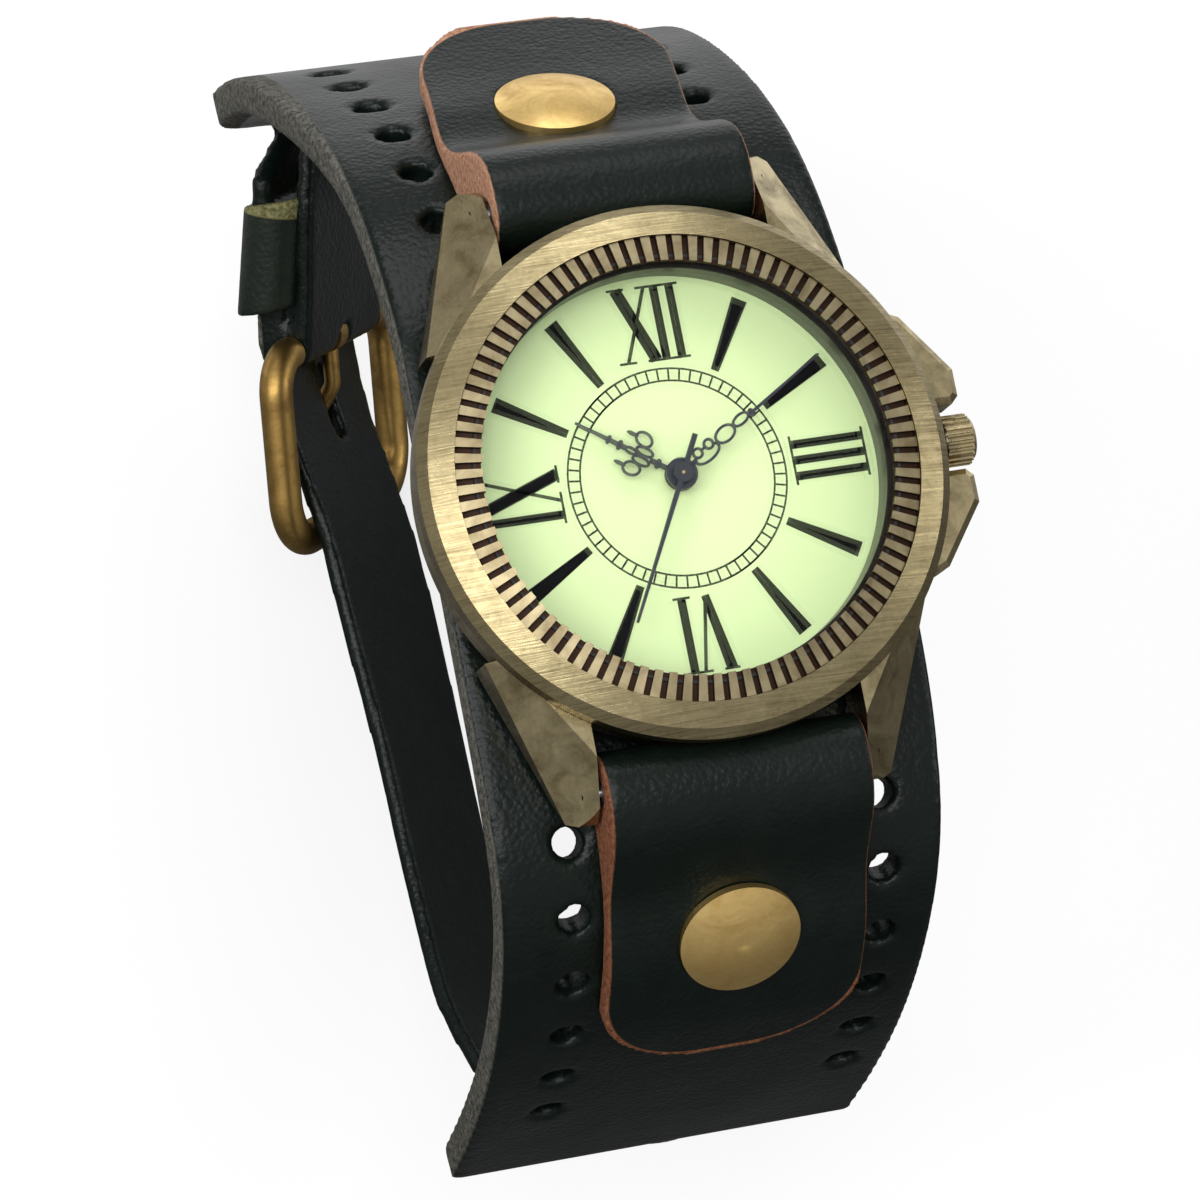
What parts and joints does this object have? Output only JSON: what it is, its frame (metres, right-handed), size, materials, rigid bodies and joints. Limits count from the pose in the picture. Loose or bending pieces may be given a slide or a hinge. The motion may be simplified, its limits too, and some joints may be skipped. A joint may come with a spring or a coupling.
{
  "type": "cuff watch",
  "caption": "Round quartz watch with a fluted ring and openwork hands, on a wide punched leather cuff held by two riveted tabs and a narrow buckled back strap.",
  "frame": {"origin": "the middle of the cuff's flat inner face, on the dial's axis, 7.6 mm under the dial's face", "axes": "+X to three o'clock and the crown, +Y to twelve o'clock along the cuff, +Z out of the dial"},
  "size_m": [0.0432, 0.0925, 0.0795],
  "materials": {
    "case_bronze": null,
    "bezel_brass": null,
    "flute_brass": null,
    "crystal_glass": null,
    "seal_rubber": null,
    "dark_ring": null,
    "dial_paint": null,
    "ring_plastic": null,
    "back_steel": null,
    "steel": null,
    "plate_brass": null,
    "board_green": null,
    "coil_copper": null,
    "wheel_plastic": null,
    "hand_paint": null,
    "cuff_leather": null,
    "tab_leather": null,
    "rivet_brass": null,
    "keeper_leather": null,
    "buckle_gold": null
  },
  "bodies": {
    "watch": {"case_body": "case_bronze", "bezel": "bezel_brass", "fluted_ring": "flute_brass", "crystal": "crystal_glass", "crystal_gasket": "seal_rubber", "inner_ring": "dark_ring", "dial": "dial_paint", "movement_ring": "ring_plastic", "case_back": "back_steel", "case_back_seal": "seal_rubber", "crown_tube": "steel", "spring_bar_upper": "steel", "spring_bar_lower": "steel", "main_plate": "plate_brass", "train_bridge": "plate_brass", "circuit_board": "board_green", "coil": "coil_copper", "stator": "steel", "battery": "steel", "battery_clamp": "steel", "cuff_band": "cuff_leather", "upper_tab": "tab_leather", "lower_tab": "tab_leather", "upper_rivet_cap": "rivet_brass", "lower_rivet_cap": "rivet_brass", "upper_rivet_base": "rivet_brass", "lower_rivet_base": "rivet_brass", "keeper": "keeper_leather"},
    "seconds": {"fourth_wheel": "plate_brass", "second_hand": "hand_paint"},
    "third": {"third_wheel": "plate_brass"},
    "centre": {"centre_wheel": "plate_brass"},
    "intermediate": {"intermediate_wheel": "wheel_plastic"},
    "rotor": {"rotor": "steel"},
    "minutes": {"cannon_pinion": "steel", "minute_hand": "hand_paint"},
    "motion": {"minute_wheel": "plate_brass"},
    "hours": {"hour_wheel": "plate_brass", "hour_hand": "hand_paint"},
    "keyless": {"sliding_pinion": "steel"},
    "winding_crown": {"crown": "case_bronze", "stem": "steel", "crown_seal": "seal_rubber"},
    "tip_upper_left": {"upper_left_tip": "steel"},
    "tip_upper_right": {"upper_right_tip": "steel"},
    "tip_lower_left": {"lower_left_tip": "steel"},
    "tip_lower_right": {"lower_right_tip": "steel"},
    "buckle": {"buckle_frame": "buckle_gold"},
    "prong": {"buckle_prong": "buckle_gold"}
  },
  "joints": [
    {"name": "seconds_spin", "type": "hinge", "parent": "watch", "child": "seconds", "pos_m": [0, 0, 0.0076], "axis": [0, 0, 1], "continuous": true},
    {"name": "third_spin", "type": "hinge", "parent": "watch", "child": "third", "pos_m": [-0.00241, 0.00202, 0.0076], "axis": [0, 0, 1], "continuous": true},
    {"name": "centre_spin", "type": "hinge", "parent": "watch", "child": "centre", "pos_m": [0, 0, 0.0076], "axis": [0, 0, 1], "continuous": true},
    {"name": "intermediate_spin", "type": "hinge", "parent": "watch", "child": "intermediate", "pos_m": [0.0012, -0.00208, 0.0076], "axis": [0, 0, 1], "continuous": true},
    {"name": "rotor_spin", "type": "hinge", "parent": "watch", "child": "rotor", "pos_m": [0.00225, -0.0039, 0.0076], "axis": [0, 0, 1], "continuous": true},
    {"name": "minutes_spin", "type": "hinge", "parent": "watch", "child": "minutes", "pos_m": [0, 0, 0.0076], "axis": [0, 0, 1], "continuous": true},
    {"name": "motion_spin", "type": "hinge", "parent": "watch", "child": "motion", "pos_m": [-0.00282, -0.00103, 0.0076], "axis": [0, 0, 1], "continuous": true},
    {"name": "hours_spin", "type": "hinge", "parent": "watch", "child": "hours", "pos_m": [0, 0, 0.0076], "axis": [0, 0, 1], "continuous": true},
    {"name": "crown_turn", "type": "hinge", "parent": "watch", "child": "keyless", "pos_m": [0.0059, 0, 0.00635], "axis": [1, 0, 0], "continuous": true},
    {"name": "crown_pull", "type": "slide", "parent": "keyless", "child": "winding_crown", "axis": [1, 0, 0], "range_m": [0, 0.0012]},
    {"name": "upper_left_tip_slide", "type": "slide", "parent": "watch", "child": "tip_upper_left", "axis": [1, 0, 0], "range_m": [0, 0.0009], "stiffness_N_per_m": 300},
    {"name": "upper_right_tip_slide", "type": "slide", "parent": "watch", "child": "tip_upper_right", "axis": [-1, 0, 0], "range_m": [0, 0.0009], "stiffness_N_per_m": 300},
    {"name": "lower_left_tip_slide", "type": "slide", "parent": "watch", "child": "tip_lower_left", "axis": [1, 0, 0], "range_m": [0, 0.0009], "stiffness_N_per_m": 300},
    {"name": "lower_right_tip_slide", "type": "slide", "parent": "watch", "child": "tip_lower_right", "axis": [-1, 0, 0], "range_m": [0, 0.0009], "stiffness_N_per_m": 300},
    {"name": "buckle_hinge", "type": "hinge", "parent": "watch", "child": "buckle", "pos_m": [-0.01077, 0.02845, -0.05245], "axis": [0.5961, 0.3304, -0.7318], "range_deg": [0, 6]},
    {"name": "prong_hinge", "type": "hinge", "parent": "watch", "child": "prong", "pos_m": [-0.01077, 0.02845, -0.05245], "axis": [0.5961, 0.3304, -0.7318], "range_deg": [0, 6]}
  ],
  "couplings": [
    {"joint": "third_spin", "follows": "seconds_spin", "ratio": -0.125},
    {"joint": "centre_spin", "follows": "seconds_spin", "ratio": 0.016667},
    {"joint": "intermediate_spin", "follows": "seconds_spin", "ratio": -5},
    {"joint": "rotor_spin", "follows": "seconds_spin", "ratio": 30},
    {"joint": "motion_spin", "follows": "minutes_spin", "ratio": -0.33333},
    {"joint": "hours_spin", "follows": "minutes_spin", "ratio": 0.083333},
    {"joint": "prong_hinge", "follows": "buckle_hinge", "ratio": 1}
  ]
}
